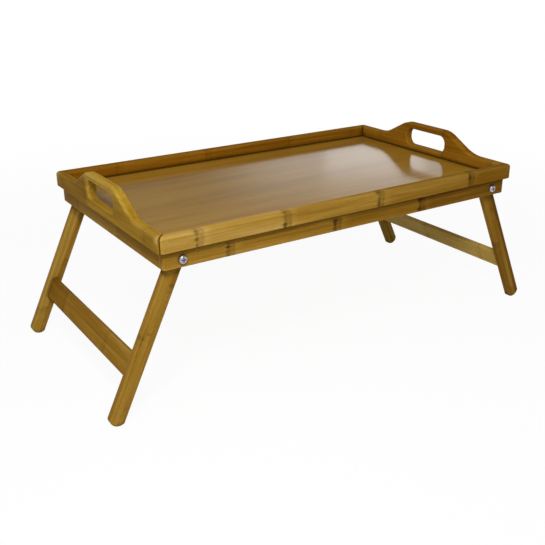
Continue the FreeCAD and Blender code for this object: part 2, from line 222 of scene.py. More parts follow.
# %% [markdown]
# ## Lamps
# A soft lamp close to the front left corner makes that end brighter than the far one. A large weak one
# above softens its shadows, and a weak one behind at the right stands for a window, which keeps the rear
# of the tray from going flat. All three are square area lamps, whose size sets how soft a shadow is.

# %% Lamps
def soft_lamp(name, place, size, power):
    """A square area lamp at a place, turned towards the middle of the tray."""
    lamp = bpy.data.lights.new(name, "AREA")
    lamp.size = size
    lamp.energy = power
    thing = bpy.data.objects.new(name, lamp)
    bpy.context.scene.collection.objects.link(thing)
    thing.location = place
    thing.rotation_euler = (tray_middle - Vector(place)).to_track_quat("-Z", "Y").to_euler()
    print(name, "at", place, "size", size, "power", power)


tray_middle = Vector((0.0, 0.0, 0.18))
soft_lamp("front_left_lamp", (-0.5, -0.64, 0.85), 0.26, 7.8)
soft_lamp("top_lamp", (-0.55, -0.1, 1.3), 0.9, 1.1)
soft_lamp("rear_window", (1.76, 1.88, 0.65), 0.45, 0.4)

# %% [markdown]
# ## The floor
# The paper runs on under the tray as a floor. Near the tray it is matt, so that the legs keep a faint
# shadow, and further out it fades to pure white, so that no edge shows where floor and wall meet. Its
# share of plain white grows with the distance from the tray.

# %% Floor
floor_reach = 60.0
shadow_radius = 0.45
white_radius = 1.3
near_white_share = 0.94
bpy.ops.mesh.primitive_plane_add(size=floor_reach, location=(0, 0, 0))
floor = bpy.context.active_object
floor.name = "floor"
floor_paint, paint = empty_sheet("floor_paint")
rays = add(paint, "ShaderNodeLightPath").outputs
seen = maths(paint, "MAXIMUM", rays["Is Camera Ray"], rays["Is Glossy Ray"])
spot = add(paint, "ShaderNodeTexCoord").outputs["Object"]
from_tray = add(paint, "ShaderNodeVectorMath", {"operation": "LENGTH"})
paint.links.new(spot, from_tray.inputs[0])
share = ramp(paint, from_tray.outputs["Value"], shadow_radius, white_radius, near_white_share, 1.0)
glow_share = maths(paint, "MULTIPLY", seen, share)
matt = add(paint, "ShaderNodeBsdfDiffuse", Color=(0.9, 0.9, 0.9, 1))
glow = add(paint, "ShaderNodeEmission", Color=(1, 1, 1, 1), Strength=1.0)
close_sheet(paint, mix_shaders(paint, glow_share, matt, glow))
floor.data.materials.append(floor_paint)
print("floor fades to white between", shadow_radius, "and", white_radius, "m")


# %% [markdown]
# ## How bamboo board is made
# Bamboo board is glued up from strips split out of the cane. Each strip has a tone of its own, and long
# fine fibres run along it. A photograph of bamboo could be laid on, but it would stretch at the ends and
# repeat. So the pattern is worked out in metres along the grain, and one recipe serves every board once
# the pattern is turned to the board's own direction.

# %% Strips and fibres
millimetre = 0.001


def along_grain(tree, turn_degrees, shift):
    """The place on a board with X along the grain, and each of the three numbers by itself."""
    coordinates = add(tree, "ShaderNodeTexCoord")
    angles = [math.radians(value) for value in turn_degrees]
    spot = coordinates.outputs["Object"]
    turned = add(tree, "ShaderNodeMapping", Vector=spot, Rotation=angles, Location=shift)
    parts = add(tree, "ShaderNodeSeparateXYZ", Vector=turned.outputs[0])
    return turned.outputs[0], parts.outputs


def strip_tone(tree, across, depth, strip_width, strip_depth):
    """A random tone for each strip, and how near a place is to the strip's own edge."""
    column = maths(tree, "DIVIDE", across, strip_width)
    row = maths(tree, "FLOOR", maths(tree, "DIVIDE", depth, strip_depth))
    number = maths(tree, "ADD", maths(tree, "FLOOR", column), maths(tree, "MULTIPLY", row, 7.3))
    dice = add(tree, "ShaderNodeTexWhiteNoise", {"noise_dimensions": "1D"}, W=number)
    from_middle = maths(tree, "ABSOLUTE", maths(tree, "SUBTRACT", maths(tree, "FRACT", column), 0.5))
    return dice.outputs["Value"], from_middle


def stretched_noise(tree, place, along, across, detail):
    """Noise that is long along the grain and fine across it, in repeats per metre."""
    scaled = add(tree, "ShaderNodeMapping", Vector=place, Scale=(along, across, across))
    noise = add(tree, "ShaderNodeTexNoise", Vector=scaled.outputs[0], Scale=1.0, Detail=detail,
                Roughness=0.6)
    return noise.outputs["Fac"]


print("strips and fibres: a tone for each strip, and noise that is long along the grain")


# %% [markdown]
# ## Where the knuckles are
# The cane has a knuckle every hand's width or so. On a board it shows as two lines across the strip, and
# beyond them the wood has another tone, because another length of cane begins. A rail or an apron is one
# wide strip, so its knuckles have chosen places. The panel and the legs have many strips, and there each
# strip's knuckles repeat from a place of its own.

# %% Knuckle places
line_gap = 7.0 * millimetre


def own_knuckles(tree, along, knuckles):
    """How far a place is from the two lines of a board's nearest knuckle, and its length of cane's tone."""
    first = 1.0
    second = 1.0
    tone = 0.0
    for knuckle_place, lighter in knuckles:
        past = maths(tree, "SUBTRACT", along, knuckle_place)
        first = maths(tree, "MINIMUM", first, maths(tree, "ABSOLUTE", past))
        from_second = maths(tree, "ABSOLUTE", maths(tree, "SUBTRACT", past, line_gap))
        second = maths(tree, "MINIMUM", second, from_second)
        step = maths(tree, "MULTIPLY", maths(tree, "GREATER_THAN", past, 0.0), lighter)
        tone = maths(tree, "ADD", tone, step)
    return first, second, tone


def repeating_knuckles(tree, along, strip, spacing):
    """The same for a board of many strips, where every strip starts at a place of its own."""
    started = maths(tree, "ADD", along, maths(tree, "MULTIPLY", strip, 3.7 * spacing))
    length_count = maths(tree, "DIVIDE", started, spacing)
    from_half = maths(tree, "SUBTRACT", maths(tree, "FRACT", length_count), 0.5)
    past = maths(tree, "MULTIPLY", from_half, spacing)
    from_second = maths(tree, "ABSOLUTE", maths(tree, "SUBTRACT", past, line_gap))
    number = maths(tree, "FLOOR", maths(tree, "ADD", length_count, 0.5))
    seed = maths(tree, "ADD", number, maths(tree, "MULTIPLY", strip, 31.7))
    dice = add(tree, "ShaderNodeTexWhiteNoise", {"noise_dimensions": "1D"}, W=seed)
    tone = maths(tree, "MULTIPLY", maths(tree, "SUBTRACT", dice.outputs["Value"], 0.5), 0.2)
    return maths(tree, "ABSOLUTE", past), from_second, tone


print("a knuckle's two lines lie", round(line_gap / millimetre, 1), "mm apart")


# %% [markdown]
# ## What a knuckle looks like
# A ruled line would look drawn on. The real first line is brown and broken, and short streaks run from
# it along the fibres. The second line is fainter, the wood between the two is browner, and a pale band
# follows. Noise bends the lines and sets how far each streak reaches.

# %% Knuckle marks
shake_width = 7.0 * millimetre
shortest_streak = 2.0 * millimetre
streak_spread = 5.5 * millimetre


def knuckle_marks(tree, place, first, second):
    """How dark the marks of a knuckle are, and how pale the band beyond it is."""
    shake = maths(tree, "SUBTRACT", stretched_noise(tree, place, 25.0, 110.0, 1.0), 0.5)
    shake = maths(tree, "MULTIPLY", shake, shake_width)
    bent_first = maths(tree, "ADD", first, shake)
    bent_second = maths(tree, "ADD", second, shake)
    streak = ramp(tree, stretched_noise(tree, place, 14.0, 620.0, 2.0), 0.42, 0.68)
    streak_reach = maths(tree, "ADD", maths(tree, "MULTIPLY", streak, streak_spread), shortest_streak)
    smudges = ramp(tree, maths(tree, "DIVIDE", bent_first, streak_reach), 0.1, 1.0, 1.0, 0.0)
    patchy = ramp(tree, stretched_noise(tree, place, 18.0, 170.0, 2.0), 0.34, 0.58, 0.45, 1.0)
    smudges = maths(tree, "MULTIPLY", smudges, patchy)
    behind_reach = maths(tree, "ADD", maths(tree, "MULTIPLY", streak, 3.0 * millimetre), 1.2 * millimetre)
    behind = ramp(tree, maths(tree, "DIVIDE", bent_second, behind_reach), 0.0, 1.0, 0.55, 0.0)
    marks = maths(tree, "MAXIMUM", smudges, maths(tree, "MULTIPLY", behind, patchy))
    both_distances = maths(tree, "ADD", first, second)
    just_past = line_gap + 0.2 * millimetre
    between = ramp(tree, both_distances, just_past, line_gap + 2.5 * millimetre, 0.28, 0.0)
    marks = maths(tree, "MAXIMUM", marks, between)
    pale = ramp(tree, second, 3.0 * millimetre, 14.0 * millimetre, 1.0, 0.0)
    return marks, pale


print("streaks reach", round(shortest_streak / millimetre, 1), "mm and up to",
      round((shortest_streak + streak_spread) / millimetre, 1), "mm from the line")


# %% [markdown]
# ## Seams between the boards
# Where two boards meet the wood is darker. In the mitres at the corners of the rim, dirt and old lacquer
# make dark lines. Painted shade lies along the foot of the rim round the panel and round the edge of the
# panel, and a painted shadow of the rim lies in the corner between rim and aprons. A drawn line would
# have to be drawn again for each board, so a seam is found by its distance from faces whose places are
# read from the frame.

# %% Faces that the seams follow
rim_outer_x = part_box("right_end_board")[1][0]
rim_outer_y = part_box("rear_rail")[1][1]
rim_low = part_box("front_rail")[0][2]
rim_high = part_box("front_rail")[1][2]
panel_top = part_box("tray_panel")[1][2]
rim_thickness = 12.0 * millimetre
rim_inner_x = rim_outer_x - rim_thickness
rim_inner_y = rim_outer_y - rim_thickness
print("rim from", round(rim_low, 4), "to", round(rim_high, 4), "high, panel at", round(panel_top, 4))


# %% Seam lines
def tray_place(tree):
    """A place on the tray, as three numbers."""
    spot = add(tree, "ShaderNodeTexCoord").outputs["Object"]
    return add(tree, "ShaderNodeSeparateXYZ", Vector=spot).outputs


def past_faces(tree, place, face_x, face_y):
    """How far a place is past the faces at both ends, and past those at front and rear."""
    past_x = maths(tree, "SUBTRACT", maths(tree, "ABSOLUTE", place[0]), face_x)
    past_y = maths(tree, "SUBTRACT", maths(tree, "ABSOLUTE", place[1]), face_y)
    return past_x, past_y


def from_mitre(tree):
    """How far a place is from the nearest of the four mitres, seen from above."""
    past_x, past_y = past_faces(tree, tray_place(tree), rim_outer_x, rim_outer_y)
    return maths(tree, "ABSOLUTE", maths(tree, "SUBTRACT", past_x, past_y))


def mitres_and_foot_shade(tree):
    """The mitres, dark with dirt and old lacquer, and a painted shade along the foot of the rim's inner
    faces, where they meet the panel.
    """
    place = tray_place(tree)
    hair = 0.4 * millimetre
    past_x, past_y = past_faces(tree, place, rim_inner_x + hair, rim_inner_y + hair)
    inside = maths(tree, "LESS_THAN", maths(tree, "MAXIMUM", past_x, past_y), 0.0)
    # Painted shade along the foot of the rim's inner faces, just above the panel.
    foot = ramp(tree, place[2], panel_top + 0.96 * millimetre, panel_top + 2.26 * millimetre, 0.9, 0.0)
    mitres = ramp(tree, from_mitre(tree), 0.5 * millimetre, 1.4 * millimetre, 0.92, 0.0)
    return maths(tree, "MAXIMUM", mitres, maths(tree, "MULTIPLY", inside, foot))


def rim_shadow_on_apron(tree):
    """A painted shadow along the top of an apron, under the overhang of the rim."""
    height = tray_place(tree)[2]
    # Painted shadow of the rim, darkest just under it.
    return ramp(tree, height, rim_low - 3.94 * millimetre, rim_low - 1.14 * millimetre, 0.0, 0.95)


def panel_edge_shade(tree):
    """A painted shade round the panel's field, in the corner where it meets the rim."""
    gap = 0.3 * millimetre
    past_x, past_y = past_faces(tree, tray_place(tree), rim_inner_x - gap, rim_inner_y - gap)
    past_edge = maths(tree, "MAXIMUM", past_x, past_y)
    return ramp(tree, past_edge, -6.0 * millimetre, -2.5 * millimetre)


print("seam lines: mitres, foot of the rim, top of the aprons, edge of the panel")


# %% [markdown]
# ## The tone of the wood
# The layers are added up to one tone between 0 and 1: broad bands, streaks, fine fibres, and dark pores
# that take a little away. A colour ramp then turns the tone into a board's own browns, from its darkest
# to its lightest. That way a board is made lighter or darker with a single number.

# %% Wood tone
broad_weight = 0.38
streak_weight = 0.48
fibre_weight = 0.32
pore_weight = -0.12
length_weight = 0.22
pale_weight = 0.08
tone_start = -0.05


def grain_layers(tree, place):
    """The layers of the grain: broad bands, streaks, fibres and pores."""
    broad = stretched_noise(tree, place, 5.0, 60.0, 2.0)
    streaks = stretched_noise(tree, place, 9.0, 330.0, 3.0)
    fibres = stretched_noise(tree, place, 16.0, 900.0, 4.0)
    pores = ramp(tree, stretched_noise(tree, place, 90.0, 2000.0, 2.0), 0.58, 0.72)
    return broad, streaks, fibres, pores


def wood_tone(tree, layers, strip, cane, contrast, level):
    """Adds the layers to the tone of the strip and of its length of cane."""
    own = maths(tree, "MULTIPLY", maths(tree, "SUBTRACT", strip, 0.5), length_weight)
    own = maths(tree, "MULTIPLY", maths(tree, "ADD", own, cane), contrast)
    total = maths(tree, "ADD", own, tone_start + level)
    weights = (broad_weight, streak_weight, fibre_weight, pore_weight)
    for layer, weight in zip(layers, weights):
        total = maths(tree, "ADD", total, maths(tree, "MULTIPLY", layer, weight))
    return total


def brown_of(tree, tone, browns):
    """Turns a tone into a colour between a board's darkest and lightest brown."""
    colours = add(tree, "ShaderNodeValToRGB", Fac=tone)
    stops = colours.color_ramp.elements
    stops[0].position = 0.26
    stops[0].color = browns[0]
    stops[1].position = 0.8
    stops[1].color = browns[2]
    middle = stops.new(0.54)
    middle.color = browns[1]
    return colours.outputs[0]


print("weights of the grain:", broad_weight, streak_weight, fibre_weight, pore_weight)


# %% [markdown]
# ## Dirt and painted shade, wear and painted highlights
# A place is darkened by how closed in it is: painted shade in inner corners, and the dirt that gathers
# there. Edges are rubbed by hands and lose their colour first, so they are found by how thin the wood is
# behind them, and made paler. On the rim only the upper edges are made paler, and there the pale colour
# is also a painted highlight on the rounded edges. It keeps clear of the mitres, so their lines stay
# dark.

# %% Dirt, painted shade, wear and painted highlights
shade_and_dirt_reach = 10.0 * millimetre
glue_width = 0.4 * millimetre
wear_and_highlight_fade = 6.0 * millimetre
mark_and_shade_brown = (0.035, 0.012, 0.001, 1)


def marks_and_shade_on(tree, from_middle, strip_width, knuckle_dark, seam_line):
    """How dark a place is from glue between strips, knuckles and mitres, and from painted shade and dirt in
    inner corners and along the other seams.
    """
    glue = ramp(tree, from_middle, 0.5 - glue_width / strip_width, 0.5, 0.0, 0.3)
    # Painted shade in inner corners, which also stands for the dirt there: the more closed in a place, the
    # darker.
    open_air = add(tree, "ShaderNodeAmbientOcclusion", {"samples": 6}, Distance=shade_and_dirt_reach)
    shade_and_dirt = ramp(tree, open_air.outputs["AO"], 0.3, 0.88, 0.85, 0.0)
    dark = maths(tree, "MAXIMUM", maths(tree, "MAXIMUM", glue, knuckle_dark), shade_and_dirt, clamp=True)
    if seam_line:
        dark = maths(tree, "MAXIMUM", dark, seam_line(tree), clamp=True)
    return dark


def wear_and_highlight_on(tree, broad, edge_reach, worn_and_lit_above):
    """How rubbed a place is, which on the rim's upper edges is also a painted highlight: most at its edges,
    in patches, and only above a height where one is given.
    """
    thickness = add(tree, "ShaderNodeAmbientOcclusion", {"samples": 6, "inside": True},
                    Distance=edge_reach * millimetre)
    edge = ramp(tree, thickness.outputs["AO"], 0.5, 0.92, 1.0, 0.0)
    wear_and_highlight = maths(tree, "MULTIPLY", edge, maths(tree, "MULTIPLY", broad, 0.95))
    if worn_and_lit_above:
        high_up = ramp(tree, tray_place(tree)[2], worn_and_lit_above, worn_and_lit_above + wear_and_highlight_fade)
        wear_and_highlight = maths(tree, "MULTIPLY", wear_and_highlight, high_up)
        clear_of_mitre = ramp(tree, from_mitre(tree), 1.5 * millimetre, 5.0 * millimetre)
        wear_and_highlight = maths(tree, "MULTIPLY", wear_and_highlight, clear_of_mitre)
    return wear_and_highlight


print("dirt within", round(shade_and_dirt_reach / millimetre, 1), "mm of a corner")


# %% [markdown]
# ## The bamboo recipe
# Now the layers meet in one material. A clear satin lacquer lies on top: it shines a little less where it
# is rubbed, and fibres and knuckles press through it, which the bump shows. The panel gets a second,
# glossier coat. Every board calls this recipe with its own direction, browns and knuckles, and with a
# shift, as if it were cut from another length of bamboo.

# %% Lacquer
bump_height = 0.15 * millimetre


def grain_height(tree, fibres, pores, marks):
    """How high the grain stands: fibres stand up, pores and knuckle marks lie lower."""
    height = maths(tree, "MULTIPLY", fibres, 0.5)
    height = maths(tree, "SUBTRACT", height, maths(tree, "MULTIPLY", pores, 0.3))
    return maths(tree, "SUBTRACT", height, maths(tree, "MULTIPLY", marks, 0.1))


def lacquer(tree, colour, fibres, height, wear_and_highlight, roughness, gloss, coat, coat_roughness):
    """Satin lacquer over a colour, with the grain as a bump and a second coat where wanted."""
    shine = maths(tree, "ADD", maths(tree, "MULTIPLY", fibres, 0.12), roughness - 0.06)
    shine = maths(tree, "ADD", shine, maths(tree, "MULTIPLY", wear_and_highlight, 0.25), clamp=True)
    bump = add(tree, "ShaderNodeBump", Strength=0.16, Distance=bump_height, Height=height)
    return add(tree, "ShaderNodeBsdfPrincipled", IOR=1.45, Specular_IOR_Level=gloss, Coat_Weight=coat,
               Coat_Roughness=coat_roughness, Coat_IOR=1.8, Base_Color=colour, Roughness=shine,
               Normal=bump.outputs[0])


print("lacquer: satin, with a bump of", round(bump_height / millimetre, 2), "mm")


# %% Bamboo
one_strip = (0.06, 0.06)


def bamboo(name, turn_degrees, browns, strips=one_strip, knuckles=None, knuckle_spacing=0.12,
           knuckle_strength=0.3, shift=(0, 0, 0), roughness=0.42, gloss=0.025, coat=0.0,
           coat_roughness=0.25, seam_line=None, tone_level=0.0, contrast=1.0, edge_reach=4.5,
           worn_and_lit_above=0.0):
    """A lacquered bamboo board whose grain runs along X once the pattern is turned."""
    material, tree = empty_sheet(name)
    place, (along, across, depth) = along_grain(tree, turn_degrees, shift)
    strip, from_middle = strip_tone(tree, across, depth, *strips)
    if knuckles:
        placed = [(shift[0] + knuckle, lighter) for knuckle, lighter in knuckles]
        first, second, cane = own_knuckles(tree, along, placed)
    else:
        first, second, cane = repeating_knuckles(tree, along, strip, knuckle_spacing)
    marks, pale = knuckle_marks(tree, place, first, second)
    broad, streaks, fibres, pores = grain_layers(tree, place)
    tone = wood_tone(tree, (broad, streaks, fibres, pores), strip, cane, contrast, tone_level)
    tone = maths(tree, "ADD", tone, maths(tree, "MULTIPLY", pale, pale_weight * knuckle_strength))
    knuckle_dark = maths(tree, "MULTIPLY", marks, knuckle_strength)
    shade_and_dirt = marks_and_shade_on(tree, from_middle, strips[0], knuckle_dark, seam_line)
    wear_and_highlight = wear_and_highlight_on(tree, broad, edge_reach, worn_and_lit_above)
    # Darkened at glue lines, knuckles and mitres, and by painted shade in corners and along seams.
    colour = mix_colours(tree, shade_and_dirt, brown_of(tree, tone, browns), mark_and_shade_brown)
    # Paler at worn edges. On the rim's upper edges this is also a painted highlight.
    colour = mix_colours(tree, wear_and_highlight, colour, browns[3])
    height = grain_height(tree, fibres, pores, marks)
    surface = lacquer(tree, colour, fibres, height, wear_and_highlight, roughness, gloss, coat, coat_roughness)
    close_sheet(tree, surface)
    return material


def dress(node_name, material):
    """Gives a piece of the frame its finish."""
    thing = frame["nodes"][node_name]
    for slot in thing.material_slots:
        slot.material = material
    if not thing.material_slots:
        thing.data.materials.append(material)
    print(node_name, "gets", material.name)


print("recipe ready, for boards that are one strip wide or many")

# %% [markdown]
# ## The browns of this tray
# Bamboo is steamed until it turns brown, and no two lengths come out alike. The front of the tray is
# honey coloured, the far boards are redder, and one stretcher is nearly straw. Each brown is four
# colours: dark, middle and light wood, and the worn edge. On the honey, olive and russet boards of the
# rim the worn edge is light enough to be also a painted highlight on the rounded upper edges.

# %% Browns
straw = (
    (0.3, 0.17, 0.022, 1),
    (0.46, 0.3, 0.065, 1),
    (0.6, 0.43, 0.13, 1),
    (0.62, 0.46, 0.15, 1),
)
honey = (
    (0.2, 0.09, 0.006, 1),
    (0.35, 0.2, 0.032, 1),
    (0.5, 0.33, 0.1, 1),
    (0.76, 0.57, 0.2, 1),
)
olive = (
    (0.2, 0.09, 0.003, 1),
    (0.35, 0.2, 0.017, 1),
    (0.49, 0.32, 0.062, 1),
    (0.8, 0.61, 0.24, 1),
)
honey_leg = (
    (0.19, 0.085, 0.005, 1),
    (0.33, 0.19, 0.028, 1),
    (0.47, 0.31, 0.085, 1),
    (0.4, 0.25, 0.05, 1),
)
amber = (
    (0.14, 0.055, 0.003, 1),
    (0.26, 0.132, 0.013, 1),
    (0.38, 0.225, 0.042, 1),
    (0.5, 0.33, 0.075, 1),
)
russet = (
    (0.12, 0.038, 0.002, 1),
    (0.225, 0.088, 0.0035, 1),
    (0.33, 0.155, 0.012, 1),
    (0.62, 0.4, 0.1, 1),
)
panel_brown = (
    (0.2, 0.08, 0.002, 1),
    (0.29, 0.132, 0.004, 1),
    (0.375, 0.192, 0.01, 1),
    (0.4, 0.23, 0.03, 1),
)
print("browns: straw, honey, olive, honey for legs, amber, russet and the panel's own")

# %% [markdown]
# ## The rails
# The long boards of the rim have their grain along the tray. They stand on edge, so their knuckles run
# down the face. The front rail catches the most light and its knuckles are dark. On both only the upper
# edges are made paler, as wear from hands and as a painted highlight.

# %% Dress the rails
lengthwise = (0, 0, 0)
# Above these heights the rim's edges are paler, as wear and as a painted highlight.
front_wear_and_highlight_height = 0.196
rim_wear_and_highlight_height = 0.193
dress("front_rail", bamboo(
    "front_rail_bamboo", lengthwise, honey, shift=(0.31, 0.18, 0.01), tone_level=0.1,
    knuckles=((-0.208, -0.01), (-0.102, -0.13), (0.028, -0.1), (0.174, -0.13)), knuckle_strength=0.8,
    gloss=0.004, seam_line=mitres_and_foot_shade, worn_and_lit_above=front_wear_and_highlight_height, edge_reach=3.0))
dress("rear_rail", bamboo(
    "rear_rail_bamboo", lengthwise, russet, shift=(0.07, 0.2, 0.02), tone_level=0.1,
    knuckles=((-0.17, 0.05), (-0.04, -0.08), (0.1, 0.06), (0.215, 0.04)),
    gloss=0.008, seam_line=mitres_and_foot_shade, worn_and_lit_above=rim_wear_and_highlight_height, edge_reach=2.6))

# %% [markdown]
# ## The end boards
# These rise to the handles and run from front to rear, so the pattern is turned a quarter. The S curve of
# a handle is sawn through the straight grain, so the fibres don't follow it. The edges of the slot are
# made paler too, as wear and as a painted highlight.

# %% Dress the end boards
crosswise = (0, 0, -90)
dress("left_end_board", bamboo(
    "left_end_bamboo", crosswise, olive, shift=(0.13, 0.02, 0.02), tone_level=-0.13,
    knuckles=((-0.115, 0.05), (0.045, -0.13), (0.125, 0.02)),
    gloss=0.008, seam_line=mitres_and_foot_shade, worn_and_lit_above=rim_wear_and_highlight_height))
dress("right_end_board", bamboo(
    "right_end_bamboo", crosswise, russet, shift=(0.21, 0.05, 0.02), tone_level=0.04,
    knuckles=((-0.125, -0.08), (-0.035, 0.08), (0.095, 0.03)),
    gloss=0.008, seam_line=mitres_and_foot_shade, worn_and_lit_above=rim_wear_and_highlight_height, edge_reach=2.6))

# %% [markdown]
# ## The aprons
# The frame under the rim is amber bamboo, and a painted shadow of the rim's overhang runs along its
# top. The search for thin wood must not find the screw holes inside, so its reach is short here.

# %% Dress the aprons
apron_reach = 2.2
dress("front_apron", bamboo(
    "front_apron_bamboo", lengthwise, amber, shift=(0.44, 0.2, 0.01), tone_level=0.07,
    knuckles=((-0.169, -0.03), (-0.03, -0.04), (0.098, -0.18)), knuckle_strength=0.85,
    gloss=0.015, seam_line=rim_shadow_on_apron, edge_reach=apron_reach))
dress("rear_apron", bamboo(
    "rear_apron_bamboo", lengthwise, amber, shift=(0.6, 0.2, 0.01),
    knuckles=((-0.12, 0.06), (0.01, -0.08), (0.15, 0.05)), seam_line=rim_shadow_on_apron, edge_reach=apron_reach))
dress("left_apron", bamboo(
    "left_apron_bamboo", crosswise, amber, shift=(0.02, 0.05, 0.01),
    knuckles=((-0.03, 0.05), (0.09, -0.08)), gloss=0.008, seam_line=rim_shadow_on_apron, edge_reach=apron_reach))
dress("right_apron", bamboo(
    "right_apron_bamboo", crosswise, amber, shift=(0.35, 0.05, 0.01),
    knuckles=((-0.08, 0.06), (0.05, -0.06)), gloss=0.008, seam_line=rim_shadow_on_apron, edge_reach=apron_reach))

# %% [markdown]
# ## The panel
# The panel is glued up from many narrow strips, whose tones are close together. Its second coat is
# glossy, so it mirrors the white paper at a low angle and shows its brown where it mirrors the dimmer
# part above.

# %% Dress the panel
narrow_strips = (0.0185, 0.01)
# The edge of the panel gets a painted shade where it meets the rim.
dress("tray_panel", bamboo(
    "panel_bamboo", lengthwise, panel_brown, strips=narrow_strips, shift=(0.1, 0.004, 0.0),
    knuckle_strength=0.08, contrast=0.6, seam_line=panel_edge_shade,
    roughness=0.45, gloss=0.06, coat=1.0, coat_roughness=0.155))

# %% [markdown]
# ## The legs
# Legs lean outwards, so their pattern leans with them, and the left ones lean the other way. A leg is
# glued up from two or three layers, which show as strips in its thickness. The legs of a frame came from
# different lengths, so each has a tone of its own.

# %% Dress the legs
splay = 25.3
right_leg_turn = (0, splay - 90, 0)
left_leg_turn = (0, -90 - splay, 0)
leg_layers = (0.06, 0.006)
leg_browns = {
    "front_left_leg": (honey_leg, -0.09),
    "rear_left_leg": (honey_leg, -0.07),
    "front_right_leg": (amber, -0.11),
    "rear_right_leg": (honey_leg, 0.06),
}
for leg_number, (leg_name, (leg_brown, leg_tone)) in enumerate(leg_browns.items()):
    leg_turn = left_leg_turn if "left" in leg_name else right_leg_turn
    dress(leg_name, bamboo(
        leg_name + "_bamboo", leg_turn, leg_brown, strips=leg_layers,
        shift=(0.17 * leg_number, 0.003, 0.01), knuckle_spacing=0.14, knuckle_strength=0.4,
        tone_level=leg_tone, gloss=0.015, edge_reach=3.0))

# %% [markdown]
# ## The stretchers and the wood inside
# Each stretcher runs from front to rear between its legs. Its dowel holes lie near its faces, so the
# search for thin wood is very short. Tongues and dowels are bare bamboo that nobody sees, but they get
# it too, because a part that is taken apart should look right.

# %% Dress the stretchers and the wood inside
stretcher_reach = 1.3
dress("left_stretcher", bamboo(
    "left_stretcher_bamboo", crosswise, amber, shift=(0.5, 0.4, 0.01),
    knuckles=((-0.06, -0.03), (0.07, -0.08)), tone_level=-0.06, gloss=0.006, edge_reach=stretcher_reach))
dress("right_stretcher", bamboo(
    "right_stretcher_bamboo", crosswise, straw, shift=(0.3, 0.4, 0.01),
    knuckles=((-0.09, 0.05), (0.02, 0.1)), tone_level=-0.01, gloss=0.015, edge_reach=stretcher_reach))
hidden = bamboo("hidden_wood_bamboo", lengthwise, straw, strips=(0.01, 0.01), roughness=0.7)
for hidden_name in ("corner_tongues", "left_stretcher_dowels", "right_stretcher_dowels"):
    dress(hidden_name, hidden)


# %% [markdown]
# ## Steel
# Screws, bolts, washers and nuts are zinc plated: grey, faintly bluish, with fine scratches and a slight
# stain where the plating is thin. The recess of a bolt head is painted dark: painted shade, because
# little light gets in, and old lacquer that stays there.

# %% Zinc plated steel
recess_shade_and_lacquer = (0.09, 0.075, 0.09, 1)


def zinc(name, tint, stain):
    """Zinc plated steel with scratches, a stain, and painted shade and old lacquer in its hollows."""
    material, tree = empty_sheet(name)
    spot = add(tree, "ShaderNodeTexCoord").outputs["Object"]
    cloud = add(tree, "ShaderNodeTexNoise", Vector=spot, Scale=420.0, Detail=3.0).outputs["Fac"]
    scratch_map = add(tree, "ShaderNodeMapping", Vector=spot, Scale=(900, 900, 9000))
    scratches = add(tree, "ShaderNodeTexNoise", Vector=scratch_map.outputs[0], Scale=1.0, Detail=2.0)
    scratches = scratches.outputs["Fac"]
    # Painted shade in the hollows, with old lacquer there: the more closed in, the darker.
    closed_in = add(tree, "ShaderNodeAmbientOcclusion", {"samples": 8}, Distance=1.6 * millimetre)
    shade_and_dirt = ramp(tree, closed_in.outputs["AO"], 0.4, 0.97, 0.8, 0.0)
    stained = mix_colours(tree, maths(tree, "MULTIPLY", cloud, 0.6), tint, stain)
    colour = mix_colours(tree, shade_and_dirt, stained, recess_shade_and_lacquer)
    shine = maths(tree, "ADD", maths(tree, "MULTIPLY", scratches, 0.2), 0.34)
    bump = add(tree, "ShaderNodeBump", Strength=0.12, Distance=0.05 * millimetre, Height=scratches)
    close_sheet(tree, add(tree, "ShaderNodeBsdfPrincipled", Metallic=1.0, Base_Color=colour,
                          Roughness=shine, Normal=bump.outputs[0]))
    return material


bright_zinc = zinc("bright_zinc", (0.5, 0.46, 0.5, 1), (0.34, 0.3, 0.36, 1))
dull_zinc = zinc("dull_zinc", (0.5, 0.5, 0.52, 1), (0.3, 0.28, 0.24, 1))
for bright_name in ("pivot_bolts", "spacer_washers"):
    dress(bright_name, bright_zinc)
for dull_name in ("nut_washers", "pivot_nuts"):
    dress(dull_name, dull_zinc)

# %% [markdown]
# ## A finish for glue and nylon
# Old glue and nylon have no grain and no plating. A perfectly even colour looks like plastic in a toy,
# so even these get two tones in fine clouds, and the same clouds change the shine and the bump.

# %% Plain finish
def plain_finish(name, colour, other, roughness, grain, gloss):
    """A matt finish with two tones in fine clouds, for glue and nylon."""
    material, tree = empty_sheet(name)
    spot = add(tree, "ShaderNodeTexCoord").outputs["Object"]
    cloud = add(tree, "ShaderNodeTexNoise", Vector=spot, Scale=grain, Detail=4.0).outputs["Fac"]
    blend = mix_colours(tree, ramp(tree, cloud, 0.35, 0.65), colour, other)
    shine = maths(tree, "ADD", maths(tree, "MULTIPLY", cloud, 0.2), roughness)
    bump = add(tree, "ShaderNodeBump", Strength=0.2, Distance=0.05 * millimetre, Height=cloud)
    close_sheet(tree, add(tree, "ShaderNodeBsdfPrincipled", Base_Color=blend, Roughness=shine,
                          Specular_IOR_Level=gloss, Normal=bump.outputs[0]))
    return material


old_glue = plain_finish("old_glue", (0.03, 0.011, 0.002, 1), (0.07, 0.028, 0.005, 1), 0.5, 900.0, 0.02)
nylon = plain_finish("nylon", (0.5, 0.52, 0.56, 1), (0.38, 0.4, 0.45, 1), 0.35, 500.0, 0.5)
print("plain finishes:", old_glue.name, "and", nylon.name)


# %% [markdown]
# ## Picking faces and edges
# The small pieces below are modelled as by hand: a primitive is added, its faces and edges are picked
# and pulled into shape in edit mode. With no mouse, they are picked by where they are or where they
# face.

